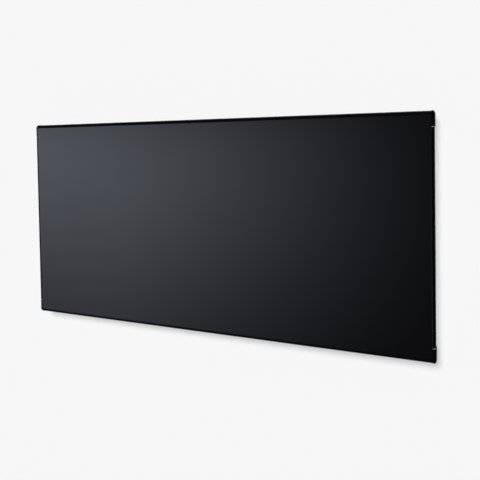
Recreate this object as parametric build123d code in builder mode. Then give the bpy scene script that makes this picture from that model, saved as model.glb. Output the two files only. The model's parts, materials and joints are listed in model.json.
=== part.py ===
from build123d import *
import os

os.makedirs("parts", exist_ok=True)

# A flat infrared panel heater that hangs on two wall brackets.
# Millimetres. The front faces -Y, the wall is the plane Y = 0, and +Z is up.
# The origin is the centre of the four wall-screw holes, on the wall.

# ---------------------------------------------------------------- driving dimensions

# Whole panel
panel_width = 1200  # over the end caps
panel_height = 600  # over the end caps
panel_depth = 24  # front face to the back of the rear cover
wall_gap = 24  # back of the rear cover to the wall

# Fits
slide_fit = 0.3  # around a piece that is pushed into another
screw_fit = 0.15  # around a screw, stud or rivet

# Front sheet
front_gauge = 1.0
edge_bend = 10.5  # outside radius of the rolled top and bottom edges
side_bend = 1.5  # outside radius of the folded sides
top_flange = 15  # depth of the rolled edge, from the front

# Rails
rail_wall = 1.6
rail_corner = 10.5  # stands clear of the sheet's bend
rail_back_radius = 1.5

# End caps
cap_width = 8
cap_height = 38
cap_rise = 1.0  # above the sheet's top edge
cap_wall = 2.5
cap_corner = 7  # round the outer face
cap_back_radius = 1.0
cap_inner_wall = 1.6
cap_plug_depth = 12
cap_plug_wall = 1.5

# Side profiles
seam = 1.2  # between a cap and the side profile
side_recess = 1.5  # in from the caps' outer faces
side_wall = 1.4
side_front_radius = 5
side_back_radius = 1
side_reveal = 0.25  # between the sheet's folded side and the profile
side_lip_chamfer = 0.4

# Corner keys
key_gauge = 2.8
key_depth = 12  # front to back
key_down = 40  # reach into the side profile
key_across = 30  # reach into the rail
key_leg_height = 20
key_leg_rise = 6  # above the rail's underside
key_shoulder_fit = 0.2
key_shoulder_inset = 0.15

# Heater stack, front to back
film_gauge = 0.4
element_gauge = 0.2
foil_gauge = 0.3
board_depth = 15
stack_margin = 5  # around the stack, inside the folded sides and the rails
track_gap = 8
track_count = 16  # even, so that both ends are on the right
track_margin = 25  # from the film's edge to the tracks

# Element terminals
stud_radius = 2
stud_flange_radius = 5
stud_flange_height = 0.8
stud_proud = 3.5  # beyond the insulation board
stud_board_hole = 6

# Overheat cut-out
cutout_left = 130  # from the junction box's centre
cutout_up = 3
cutout_radius = 8
cutout_height = 6.5
cutout_board_hole = 20
cutout_flange_gauge = 0.6
cutout_flange_length = 32
cutout_flange_width = 12
cutout_ear_hole = 1.6
blade_width = 6.3
blade_gauge = 0.8
blade_pitch = 9

# Rear cover
cover_gauge = 0.7
cover_lap = 16  # over each rail
cover_screw_count = 8  # along each rail
cover_screw_margin = 40
rib_count = 3
rib_pitch = 78
rib_width = 24
rib_rise = 2.5

# Hanger rails and wall brackets
hanger_margin = 150  # from the rail's end to the panel's end
hanger_gauge = 1.5
hanger_flange = 20
hanger_bend = 1.8  # centre-line radius
upper_hanger_down = 85  # top of the upper rail, from the panel's upper edge
lower_hanger_up = 175  # top of the lower rail, from the panel's lower edge
rivet_count = 6  # along each rail
rivet_margin = 40
rivet_radius = 1.6
rivet_head_radius = 3.6
rivet_head_height = 1.1
rivet_tail = 3
lift_travel = 14  # that frees the panel
lift_spare = 2  # travel beyond the hooks' tips
bracket_pitch = 600  # between the two brackets' screw holes
screw_pitch = 330  # between a bracket's two screw holes
bracket_gauge = 2
bracket_width = 40
bracket_end = 20  # beyond the lower screw hole
bracket_crown = 24  # above the top of the upper rail
bracket_corner = 6
wall_screw_radius = 2.75
hook_reach = 12  # wall to the front of the hook's lip
hook_height = 19
hook_width = 32
hook_bend = 2.5
pad_front = 1.2
pad_top = 1.2
pad_back = 2.2
pad_drop = 11

# Junction box, on the back of the rear cover
box_in = 170  # box centre from the panel's right-hand end
box_up = 85  # box centre from the panel's lower edge
box_width = 124
box_height = 70
box_depth = 17
box_wall = 2
box_corner = 6
post_radius = 4.5
post_inset = 7.5  # post centre from the box's outer sides
seal_gauge = 0.8
seal_width = 1.6
lid_gauge = 2
lid_corner_round = 0.8
fixing_offset = 48  # box screws, either side of its centre
fixing_rise = -20

# Terminal block
block_width = 32
block_height = 18  # along the conductors
block_depth = 10.5
pole_pitch = 10
barrel_radius = 2.4
barrel_bore = 1.5
terminal_screw_radius = 1.3
terminal_screw_inset = 4.5

# Leads
lead_radius = 1.2
lead_turn = 4
lead_run = 30  # live lead's straight run from the slot
lead_loop = 20  # link lead's reach beyond the cut-out
lead_slant = 16  # length of the slanted stretch before the lower terminal
lead_slant_start = 24  # before the terminal
lead_drop = 14  # link lead's run below the terminal
lead_approach = 40  # live lead's straight run into the cut-out
grommet_left = 5  # slot that the leads pass through, from the box's centre
grommet_up = 22
grommet_length = 30
grommet_width = 11
grommet_wall = 2
grommet_lip = 2
clip_width = 9
clip_height = 14
clip_wall = 1.2
clip_count = 3
clip_margin = 60  # from the lead's bend and its terminal

# Earth stud
earth_right = 43  # from the box's centre
earth_up = 19
earth_nut_flats = 7
earth_nut_height = 3.2
earth_eye_radius = 4.8  # clears the nuts' corners
earth_eye_gauge = 0.8
earth_stud_tip = 1.5

# Cable gland
gland_thread = 6
gland_bore = 3.75
gland_flats = 15
gland_hex = 5
gland_neck = 13
gland_inner = 4  # thread inside the box
gland_boss_wall = 2
gland_nut_flats = 15
gland_nut_length = 15
gland_nut_gap = 0.5
gland_seal_length = 6
gland_nut_chamfer = 2.2

# Screws: head radius, head height, shank radius, shank length
cover_screw = (3.3, 1.9, 1.75, 7)
cap_screw = (2.6, 1.6, 1.4, 11)
box_screw = (3.2, 1.8, 1.6, 6)
lid_screw = (2.8, 1.5, 1.3, 9)

# ---------------------------------------------------------------- places worked out from them

front_y = -(wall_gap + panel_depth)
back_y = -wall_gap
middle_y = (front_y + back_y) / 2
sheet_top = panel_height / 2 - cap_rise
sheet_side = panel_width / 2 - cap_width
rail_low = panel_height / 2 - cap_height
rail_front = front_y + front_gauge
rail_top = sheet_top - front_gauge
cover_front = back_y - cover_gauge
side_outer = panel_width / 2 - side_recess
side_end = rail_low - seam
flange_end = rail_low - slide_fit

hanger_length = panel_width - 2 * hanger_margin
upper_hanger_z = panel_height / 2 - upper_hanger_down
lower_hanger_z = lower_hanger_up - panel_height / 2
box_x = panel_width / 2 - box_in
box_z = box_up - panel_height / 2
grommet_x = box_x - grommet_left
grommet_z = box_z + grommet_up
earth_x = box_x + earth_right
earth_z = box_z + earth_up
cutout_x = box_x - cutout_left
cutout_z = box_z + cutout_up

element_y = rail_front + film_gauge
rear_film_y = element_y + element_gauge
foil_y = rear_film_y + film_gauge
board_y = foil_y + foil_gauge
board_back = board_y + board_depth
stack_width = 2 * (sheet_side - front_gauge - stack_margin)
stack_height = 2 * (rail_low - stack_margin)

track_pitch = (stack_height - 2 * track_margin + track_gap) / track_count
track_width = track_pitch - track_gap
track_length = stack_width - 2 * track_margin
stud_x = (track_length - track_width) / 2
stud_z = (track_count - 1) * track_pitch / 2

lead_y = board_back + slide_fit + lead_radius
box_floor = back_y + box_wall
box_rim = back_y + box_depth
lid_front = box_rim + seal_gauge
lid_back = lid_front + lid_gauge
lead_entry_y = box_floor + earth_nut_height + earth_eye_gauge / 2
block_top = box_z + block_height / 2


def at_y(y):
    """Plane across the panel at this Y. Its sketch axes are X and Z, and it extrudes to the front."""
    return Plane.XZ.offset(-y)


def row(count, length):
    """Evenly spread places, centred on 0."""
    return [(i / (count - 1) - 0.5) * length for i in range(count)]


def pan_screw(head_radius, head_height, shank_radius, shank_length):
    """Cross-recessed pan screw that points to the front, with its head's underside at Y = 0."""
    with BuildPart() as screw:
        with BuildSketch(at_y(head_height)):
            Circle(head_radius)
        extrude(amount=head_height)
        fillet(screw.faces().sort_by(Axis.Y)[-1].edges(), head_height * 0.6)
        with BuildSketch(at_y(0)):
            Circle(shank_radius)
        extrude(amount=shank_length)
        chamfer(screw.faces().sort_by(Axis.Y)[0].edges(), shank_radius * 0.4)
        with BuildSketch(at_y(head_height)):
            Rectangle(head_radius * 1.1, head_radius * 0.26)
            Rectangle(head_radius * 0.26, head_radius * 1.1)
        extrude(amount=head_height * 0.55, mode=Mode.SUBTRACT)
    return screw.part


def lead(points, turns):
    """Round insulated lead along straight runs joined by arcs."""
    with BuildPart() as wire:
        with BuildLine() as path:
            FilletPolyline(*points, radius=turns)
        with BuildSketch(Plane(origin=path.line @ 0, z_dir=path.line % 0)):
            Circle(lead_radius)
        sweep()
    return wire.part


# ---------------------------------------------------------------- front sheet

with BuildPart() as front_panel:
    # Rolled top and bottom edges
    with BuildSketch(Plane.YZ):
        with Locations((front_y, 0)):
            Rectangle(top_flange, 2 * sheet_top, align=(Align.MIN, Align.CENTER))
        fillet(vertices().group_by(Axis.X)[0], edge_bend)
    extrude(amount=sheet_side, both=True)
    with BuildSketch(Plane.YZ):
        with Locations((rail_front, 0)):
            Rectangle(top_flange, 2 * rail_top, align=(Align.MIN, Align.CENTER))
        fillet(vertices().group_by(Axis.X)[0], edge_bend - front_gauge)
    extrude(amount=sheet_side, both=True, mode=Mode.SUBTRACT)
    # Folded sides, between the rails
    for hand in (1, -1):
        with BuildSketch(Plane.XY.offset(-flange_end)):
            with Locations((hand * (sheet_side - side_bend / 2), front_y + side_bend / 2)):
                Rectangle(side_bend, side_bend)
        extrude(amount=2 * flange_end, mode=Mode.SUBTRACT)
        with BuildSketch(Plane.XY.offset(-flange_end)):
            with BuildLine():
                Polyline(
                    (hand * (sheet_side - side_bend), front_y),
                    (hand * sheet_side, front_y),
                    (hand * sheet_side, cover_front),
                    (hand * (sheet_side - front_gauge), cover_front),
                    (hand * (sheet_side - front_gauge), rail_front),
                    (hand * (sheet_side - side_bend), rail_front),
                    close=True,
                )
            make_face()
            fillet(vertices().sort_by_distance((hand * sheet_side, front_y))[0], side_bend)
            fillet(
                vertices().sort_by_distance((hand * (sheet_side - front_gauge), rail_front))[0],
                side_bend - front_gauge,
            )
        extrude(amount=2 * flange_end)
front_panel.part.label = "front_panel"
export_step(front_panel.part, "parts/front_panel.step")

# ---------------------------------------------------------------- rails

with BuildPart() as top_rail:
    step_y = front_y + top_flange + slide_fit
    rebate_z = rail_low + cover_lap
    with BuildSketch(Plane.YZ):
        with BuildLine():
            Polyline(
                (rail_front, rail_low),
                (rail_front, rail_top),
                (step_y, rail_top),
                (step_y, sheet_top),
                (back_y, sheet_top),
                (back_y, rebate_z),
                (cover_front, rebate_z),
                (cover_front, rail_low),
                close=True,
            )
        make_face()
        fillet(vertices().sort_by_distance((rail_front, rail_top))[0], rail_corner)
        fillet(vertices().sort_by_distance((back_y, sheet_top))[0], rail_back_radius)
    extrude(amount=sheet_side, both=True)
    # The hollow takes the caps' plugs and the corner keys
    hollow_front = rail_front + rail_wall
    hollow_back = cover_front - rail_wall
    hollow_low = rail_low + rail_wall
    hollow_top = rail_top - rail_wall
    with BuildSketch(Plane.YZ):
        with BuildLine():
            Polyline(
                (hollow_front, hollow_low),
                (hollow_front, hollow_top),
                (hollow_back, hollow_top),
                (hollow_back, hollow_low),
                close=True,
            )
        make_face()
        fillet(vertices().sort_by_distance((hollow_front, hollow_top))[0], rail_corner - rail_wall)
    extrude(amount=sheet_side, both=True, mode=Mode.SUBTRACT)
    # Pilot holes for the cover screws
    cover_screw_z = rail_low + cover_lap / 2
    cover_screw_row = row(cover_screw_count, 2 * (sheet_side - cover_screw_margin))
    with BuildSketch(at_y(back_y)):
        with Locations(*[(x, cover_screw_z) for x in cover_screw_row]):
            Circle(cover_screw[2] + screw_fit)
    extrude(amount=cover_gauge + rail_wall + slide_fit, mode=Mode.SUBTRACT)
top_rail.part.label = "top_rail"
export_step(top_rail.part, "parts/top_rail.step")

with BuildPart() as bottom_rail:
    mirror(top_rail.part, about=Plane.XY)
bottom_rail.part.label = "bottom_rail"
export_step(bottom_rail.part, "parts/bottom_rail.step")

# ---------------------------------------------------------------- side profiles

with BuildPart() as side_profile_right:
    inner_x = sheet_side + side_reveal
    with BuildSketch(Plane.XY.offset(-side_end)):
        with BuildLine():
            Polyline(
                (inner_x, front_y),
                (side_outer, front_y),
                (side_outer, back_y),
                (inner_x, back_y),
                (inner_x, back_y - side_wall),
                (side_outer - side_wall, back_y - side_wall),
                (side_outer - side_wall, front_y + side_wall),
                (inner_x, front_y + side_wall),
                close=True,
            )
        make_face()
        fillet(vertices().sort_by_distance((side_outer, front_y))[0], side_front_radius)
        fillet(
            vertices().sort_by_distance((side_outer - side_wall, front_y + side_wall))[0],
            side_front_radius - side_wall,
        )
        fillet(vertices().sort_by_distance((side_outer, back_y))[0], side_back_radius)
        chamfer(vertices().sort_by_distance((inner_x, front_y))[0], side_lip_chamfer)
    extrude(amount=2 * side_end)
side_profile_right.part.label = "side_profile_right"
export_step(side_profile_right.part, "parts/side_profile_right.step")

with BuildPart() as side_profile_left:
    mirror(side_profile_right.part, about=Plane.YZ)
side_profile_left.part.label = "side_profile_left"
export_step(side_profile_left.part, "parts/side_profile_left.step")

# ---------------------------------------------------------------- corners

# One corner is drawn, at the top right, and mirrored to the others
key_outer = side_outer - side_wall - slide_fit
key_front = middle_y - key_depth / 2
key_leg_low = rail_low + key_leg_rise
key_leg_top = key_leg_low + key_leg_height
cap_screw_x = key_outer - key_gauge / 2
cap_screw_z = key_leg_low + key_leg_height / 2
cavity_inner = sheet_side + cap_inner_wall

with BuildPart() as corner_key:
    # Bar that runs down into the side profile and up into the cap
    with BuildSketch(at_y(key_front + key_depth)):
        with Locations((key_outer, side_end - key_down)):
            Rectangle(
                key_gauge, key_down + key_leg_top - side_end, align=(Align.MAX, Align.MIN)
            )
        with Locations((key_outer, key_leg_low)):
            Rectangle(
                key_outer - sheet_side + key_across, key_leg_height, align=(Align.MAX, Align.MIN)
            )
    extrude(amount=key_depth)
    # Shoulder that shows in the seam
    with BuildSketch(Plane.XY.offset(side_end + key_shoulder_fit)):
        shoulder_inner = sheet_side + side_reveal + key_shoulder_inset
        shoulder_outer = side_outer - key_shoulder_inset
        shoulder_front = front_y + key_shoulder_inset
        shoulder_back = back_y - key_shoulder_inset
        with BuildLine():
            Polyline(
                (shoulder_inner, shoulder_front),
                (shoulder_outer, shoulder_front),
                (shoulder_outer, shoulder_back),
                (shoulder_inner, shoulder_back),
                close=True,
            )
        make_face()
        fillet(
            vertices().sort_by_distance((shoulder_outer, shoulder_front))[0],
            side_front_radius - key_shoulder_inset,
        )
    extrude(amount=seam - 2 * key_shoulder_fit)
    with BuildSketch(at_y(back_y)):
        with Locations((cap_screw_x, cap_screw_z)):
            Circle(cap_screw[2] + screw_fit)
    extrude(amount=cap_screw[3] + slide_fit, mode=Mode.SUBTRACT)

with BuildPart() as end_cap:
    with BuildSketch(Plane.YZ.offset(sheet_side)):
        with Locations((front_y, rail_low)):
            Rectangle(panel_depth, cap_height, align=(Align.MIN, Align.MIN))
        # Follows the roll of the front sheet
        fillet(vertices().sort_by_distance((front_y, panel_height / 2))[0], edge_bend + cap_rise)
    extrude(amount=cap_width)
    outer_face = end_cap.faces().sort_by(Axis.X)[-1]
    on_front = lambda edge: edge.center().Y < back_y - cap_wall - slide_fit
    on_rim = lambda edge: edge.center().X > sheet_side and edge.center().Z > rail_low + cap_wall + slide_fit
    fillet(outer_face.edges().filter_by(on_front).filter_by(on_rim), cap_corner)
    back_face = end_cap.faces().sort_by(Axis.Y)[-1]
    fillet(back_face.edges().filter_by(on_rim), cap_back_radius)
    # Cavity
    with BuildPart(mode=Mode.SUBTRACT) as cavity:
        with BuildSketch(Plane.YZ.offset(cavity_inner)):
            with Locations((front_y + cap_wall, rail_low + cap_wall)):
                Rectangle(
                    panel_depth - 2 * cap_wall,
                    cap_height - 2 * cap_wall,
                    align=(Align.MIN, Align.MIN),
                )
            fillet(
                vertices().sort_by_distance((front_y, panel_height / 2))[0],
                edge_bend + cap_rise - cap_wall,
            )
        extrude(amount=cap_width - cap_inner_wall - cap_wall)
        cavity_face = cavity.faces().sort_by(Axis.X)[-1]
        fillet(
            cavity_face.edges().filter_by(on_front).filter_by(on_rim),
            min(cap_corner - cap_wall, cap_width - cap_inner_wall - cap_wall - slide_fit),
        )
    # Plug that fits the rail's hollow
    with BuildSketch(Plane.YZ.offset(sheet_side - cap_plug_depth)):
        plug_front = hollow_front + slide_fit
        plug_top = hollow_top - slide_fit
        with BuildLine():
            Polyline(
                (plug_front, hollow_low + slide_fit),
                (plug_front, plug_top),
                (hollow_back - slide_fit, plug_top),
                (hollow_back - slide_fit, hollow_low + slide_fit),
                close=True,
            )
        make_face()
        fillet(vertices().sort_by_distance((plug_front, plug_top))[0], rail_corner - rail_wall)
        offset(amount=-cap_plug_wall, mode=Mode.SUBTRACT)
    extrude(amount=cap_plug_depth + cap_inner_wall / 2)
    # Windows for the key's two legs
    with BuildSketch(Plane.YZ.offset(sheet_side)):
        with Locations((middle_y, cap_screw_z)):
            Rectangle(key_depth + 2 * slide_fit, key_leg_height + 2 * slide_fit)
    extrude(amount=cap_inner_wall, mode=Mode.SUBTRACT)
    with BuildSketch(Plane.XY.offset(rail_low)):
        with Locations((cap_screw_x, middle_y)):
            Rectangle(key_gauge + 2 * slide_fit, key_depth + 2 * slide_fit)
    extrude(amount=cap_wall, mode=Mode.SUBTRACT)
    with BuildSketch(at_y(back_y)):
        with Locations((cap_screw_x, cap_screw_z)):
            Circle(cap_screw[2] + screw_fit)
    extrude(amount=cap_wall, mode=Mode.SUBTRACT)

corner_mirrors = {
    "top_right": [],
    "top_left": [Plane.YZ],
    "bottom_right": [Plane.XY],
    "bottom_left": [Plane.YZ, Plane.XY],
}
for corner, planes in corner_mirrors.items():
    for kind, drawn in (("end_cap", end_cap.part), ("corner_key", corner_key.part)):
        placed = drawn
        for plane in planes:
            placed = placed.mirror(plane)
        with BuildPart() as corner_piece:
            add(placed)
        corner_piece.part.label = f"{kind}_{corner}"
        export_step(corner_piece.part, f"parts/{kind}_{corner}.step")

with BuildPart() as cap_screws:
    with Locations(
        *[(x, back_y, z) for x in (-cap_screw_x, cap_screw_x) for z in (-cap_screw_z, cap_screw_z)]
    ):
        add(pan_screw(*cap_screw))
cap_screws.part.label = "cap_screws"
export_step(cap_screws.part, "parts/cap_screws.step")

# ---------------------------------------------------------------- heater stack

stud_places = [(stud_x, -stud_z), (stud_x, stud_z)]

with BuildPart() as front_insulating_film:
    with BuildSketch(at_y(element_y)):
        Rectangle(stack_width, stack_height)
    extrude(amount=film_gauge)
front_insulating_film.part.label = "front_insulating_film"
export_step(front_insulating_film.part, "parts/front_insulating_film.step")

with BuildPart() as heating_element:
    # One track that runs to and fro
    with BuildSketch(at_y(rear_film_y)):
        for i in range(track_count):
            z = -stud_z + i * track_pitch
            with Locations((0, z)):
                Rectangle(track_length, track_width)
            if i < track_count - 1:
                end = -1 if i % 2 == 0 else 1
                with Locations((end * stud_x, z + track_pitch / 2)):
                    Rectangle(track_width, track_gap)
    extrude(amount=element_gauge)
heating_element.part.label = "heating_element"
export_step(heating_element.part, "parts/heating_element.step")

with BuildPart() as rear_insulating_film:
    with BuildSketch(at_y(foil_y)):
        Rectangle(stack_width, stack_height)
        with Locations(*stud_places):
            Circle(stud_flange_radius + slide_fit, mode=Mode.SUBTRACT)
    extrude(amount=film_gauge)
rear_insulating_film.part.label = "rear_insulating_film"
export_step(rear_insulating_film.part, "parts/rear_insulating_film.step")

with BuildPart() as reflector_foil:
    with BuildSketch(at_y(board_y)):
        Rectangle(stack_width, stack_height)
        with Locations(*stud_places):
            Circle(stud_flange_radius + slide_fit, mode=Mode.SUBTRACT)
    extrude(amount=foil_gauge)
reflector_foil.part.label = "reflector_foil"
export_step(reflector_foil.part, "parts/reflector_foil.step")

with BuildPart() as insulation_board:
    with BuildSketch(at_y(board_back)):
        Rectangle(stack_width, stack_height)
        with Locations(*stud_places):
            Circle(stud_board_hole, mode=Mode.SUBTRACT)
        with Locations((cutout_x, cutout_z)):
            Circle(cutout_board_hole, mode=Mode.SUBTRACT)
    extrude(amount=board_depth)
insulation_board.part.label = "insulation_board"
export_step(insulation_board.part, "parts/insulation_board.step")

with BuildPart() as element_terminals:
    with BuildSketch(at_y(rear_film_y + stud_flange_height)):
        with Locations(*stud_places):
            Circle(stud_flange_radius)
    extrude(amount=stud_flange_height)
    with BuildSketch(at_y(board_back + stud_proud)):
        with Locations(*stud_places):
            Circle(stud_radius)
    extrude(amount=board_back + stud_proud - rear_film_y)
element_terminals.part.label = "element_terminals"
export_step(element_terminals.part, "parts/element_terminals.step")

# ---------------------------------------------------------------- overheat cut-out

cutout_back = board_y + cutout_height
blade_tip = lead_y + lead_radius + slide_fit

with BuildPart() as overheat_cutout:
    with BuildSketch(at_y(cutout_back)):
        with Locations((cutout_x, cutout_z)):
            Circle(cutout_radius)
    extrude(amount=cutout_height)
    fillet(overheat_cutout.faces().sort_by(Axis.Y)[-1].edges(), 0.8)
    with BuildSketch(at_y(blade_tip)):
        with Locations(
            (cutout_x - blade_pitch / 2, cutout_z), (cutout_x + blade_pitch / 2, cutout_z)
        ):
            Rectangle(blade_gauge, blade_width)
    extrude(amount=blade_tip - cutout_back)
overheat_cutout.part.label = "overheat_cutout"
export_step(overheat_cutout.part, "parts/overheat_cutout.step")

with BuildPart() as cutout_flange:
    with BuildSketch(at_y(board_y + cutout_flange_gauge)):
        with Locations((cutout_x, cutout_z)):
            SlotOverall(cutout_flange_length, cutout_flange_width)
            Circle(cutout_radius + blade_gauge + slide_fit)
            Circle(cutout_radius + slide_fit, mode=Mode.SUBTRACT)
        ear_x = (cutout_flange_length + 2 * cutout_radius) / 4
        with Locations((cutout_x - ear_x, cutout_z), (cutout_x + ear_x, cutout_z)):
            Circle(cutout_ear_hole, mode=Mode.SUBTRACT)
    extrude(amount=cutout_flange_gauge)
cutout_flange.part.label = "cutout_flange"
export_step(cutout_flange.part, "parts/cutout_flange.step")

# ---------------------------------------------------------------- rear cover

rib_centre = (upper_hanger_z - hanger_flange + lower_hanger_z) / 2
rib_rows = [(0, rib_centre + z) for z in row(rib_count, rib_pitch * (rib_count - 1))]
cover_half = rail_low + cover_lap - slide_fit
rivet_row = row(rivet_count, hanger_length - 2 * rivet_margin)
hanger_rivets_at = [
    (x, z - hanger_flange / 2) for x in rivet_row for z in (upper_hanger_z, lower_hanger_z)
]
box_fixings = [
    (box_x - fixing_offset, box_z + fixing_rise),
    (box_x + fixing_offset, box_z + fixing_rise),
]

with BuildPart() as rear_cover:
    with BuildSketch(at_y(back_y)):
        Rectangle(2 * (sheet_side - slide_fit), 2 * cover_half)
    extrude(amount=cover_gauge)
    # Pressed ribs
    with BuildSketch(at_y(back_y + rib_rise)):
        with Locations(*rib_rows):
            SlotOverall(hanger_length, rib_width)
    extrude(amount=rib_rise)
    rib_tops = rear_cover.faces().filter_by(Plane.XZ).sort_by(Axis.Y)[-rib_count:]
    fillet(rib_tops.edges(), rib_rise * 0.8)
    with BuildSketch(at_y(back_y + rib_rise - cover_gauge)):
        with Locations(*rib_rows):
            SlotOverall(hanger_length - 2 * rib_rise, rib_width - 2 * rib_rise)
    extrude(amount=rib_rise, mode=Mode.SUBTRACT)
    # Holes
    with BuildSketch(at_y(back_y)):
        with Locations(*[(x, z) for x in cover_screw_row for z in (-cover_screw_z, cover_screw_z)]):
            Circle(cover_screw[2] + screw_fit)
        with Locations(*hanger_rivets_at):
            Circle(rivet_radius + screw_fit)
        with Locations(*box_fixings):
            Circle(box_screw[2] + screw_fit)
        with Locations((grommet_x, grommet_z)):
            SlotOverall(grommet_length, grommet_width)
    extrude(amount=cover_gauge, mode=Mode.SUBTRACT)
rear_cover.part.label = "rear_cover"
export_step(rear_cover.part, "parts/rear_cover.step")

with BuildPart() as cover_screws:
    with Locations(
        *[(x, back_y, z) for x in cover_screw_row for z in (-cover_screw_z, cover_screw_z)]
    ):
        add(pan_screw(*cover_screw))
cover_screws.part.label = "cover_screws"
export_step(cover_screws.part, "parts/cover_screws.step")

# ---------------------------------------------------------------- hanger rails

# From the wall: bracket, clearance, the rail's lip, clearance, the hook's lip in its pad
hook_back = -hook_reach + bracket_gauge
hanger_lip_front = hook_back + pad_back + slide_fit
hanger_lip_y = hanger_lip_front + hanger_gauge / 2
hanger_lip_drop = lift_travel - lift_spare

for name, top in (("hanger_rail_upper", upper_hanger_z), ("hanger_rail_lower", lower_hanger_z)):
    with BuildPart() as hanger_rail:
        with BuildSketch(Plane.YZ):
            flange_y = back_y + hanger_gauge / 2
            web_z = top - hanger_gauge / 2
            with BuildLine():
                FilletPolyline(
                    (flange_y, top - hanger_flange),
                    (flange_y, web_z),
                    (hanger_lip_y, web_z),
                    (hanger_lip_y, top - hanger_gauge - hanger_lip_drop),
                    radius=hanger_bend,
                )
            trace(line_width=hanger_gauge)
        extrude(amount=hanger_length / 2, both=True)
        with BuildSketch(at_y(back_y + hanger_gauge)):
            with Locations(*[(x, top - hanger_flange / 2) for x in rivet_row]):
                Circle(rivet_radius + screw_fit)
        extrude(amount=hanger_gauge, mode=Mode.SUBTRACT)
    hanger_rail.part.label = name
    export_step(hanger_rail.part, f"parts/{name}.step")

with BuildPart() as hanger_rivets:
    with BuildSketch(at_y(back_y + hanger_gauge + rivet_head_height)):
        with Locations(*hanger_rivets_at):
            Circle(rivet_head_radius)
    extrude(amount=rivet_head_height)
    heads = hanger_rivets.faces().filter_by(Plane.XZ).group_by(Axis.Y)[-1]
    fillet(heads.edges(), rivet_head_height * 0.7)
    with BuildSketch(at_y(back_y + hanger_gauge)):
        with Locations(*hanger_rivets_at):
            Circle(rivet_radius)
    extrude(amount=hanger_gauge + cover_gauge + rivet_tail)
hanger_rivets.part.label = "hanger_rivets"
export_step(hanger_rivets.part, "parts/hanger_rivets.step")

# ---------------------------------------------------------------- wall brackets

bracket_low = -screw_pitch / 2 - bracket_end
bracket_top = upper_hanger_z + bracket_crown
hook_lip_y = -hook_reach + bracket_gauge / 2
pad_places = []

for name, x in (
    ("wall_bracket_left", -bracket_pitch / 2),
    ("wall_bracket_right", bracket_pitch / 2),
):
    with BuildPart() as wall_bracket:
        with BuildSketch(at_y(0)):
            with Locations((x, (bracket_low + bracket_top) / 2)):
                RectangleRounded(bracket_width, bracket_top - bracket_low, bracket_corner)
        extrude(amount=bracket_gauge)
        for top in (upper_hanger_z, lower_hanger_z):
            seat = top - hanger_gauge - slide_fit
            lip_top = seat - pad_top
            tongue_z = lip_top - hook_height + bracket_gauge / 2
            with BuildSketch(Plane.YZ.offset(x)):
                with BuildLine():
                    FilletPolyline(
                        (-bracket_gauge / 2, tongue_z),
                        (hook_lip_y, tongue_z),
                        (hook_lip_y, lip_top),
                        radius=hook_bend,
                    )
                trace(line_width=bracket_gauge)
            extrude(amount=hook_width / 2, both=True)
            pad_places.append((x, lip_top))
        with BuildSketch(at_y(0)):
            with Locations((x, -screw_pitch / 2), (x, screw_pitch / 2)):
                Circle(wall_screw_radius)
        extrude(amount=bracket_gauge, mode=Mode.SUBTRACT)
    wall_bracket.part.label = name
    export_step(wall_bracket.part, f"parts/{name}.step")

with BuildPart() as hook_pads:
    # Rubber channels pushed over the hooks' lips
    for x, lip_top in pad_places:
        with BuildSketch(Plane.YZ.offset(x)):
            with BuildLine():
                Polyline(
                    (-hook_reach - pad_front, lip_top - pad_drop),
                    (-hook_reach - pad_front, lip_top + pad_top),
                    (hook_back + pad_back, lip_top + pad_top),
                    (hook_back + pad_back, lip_top - pad_drop),
                    (hook_back, lip_top - pad_drop),
                    (hook_back, lip_top),
                    (-hook_reach, lip_top),
                    (-hook_reach, lip_top - pad_drop),
                    close=True,
                )
            make_face()
            fillet(vertices().group_by(Axis.Y)[-1], pad_top * 0.7)
        extrude(amount=hook_width / 2, both=True)
hook_pads.part.label = "hook_pads"
export_step(hook_pads.part, "parts/hook_pads.step")

# ---------------------------------------------------------------- junction box

post_places = [
    (box_x + x, box_z + z)
    for x in (-box_width / 2 + post_inset, box_width / 2 - post_inset)
    for z in (-box_height / 2 + post_inset, box_height / 2 - post_inset)
]
box_bottom = box_z - box_height / 2
gland_y = (box_floor + box_rim) / 2

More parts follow.
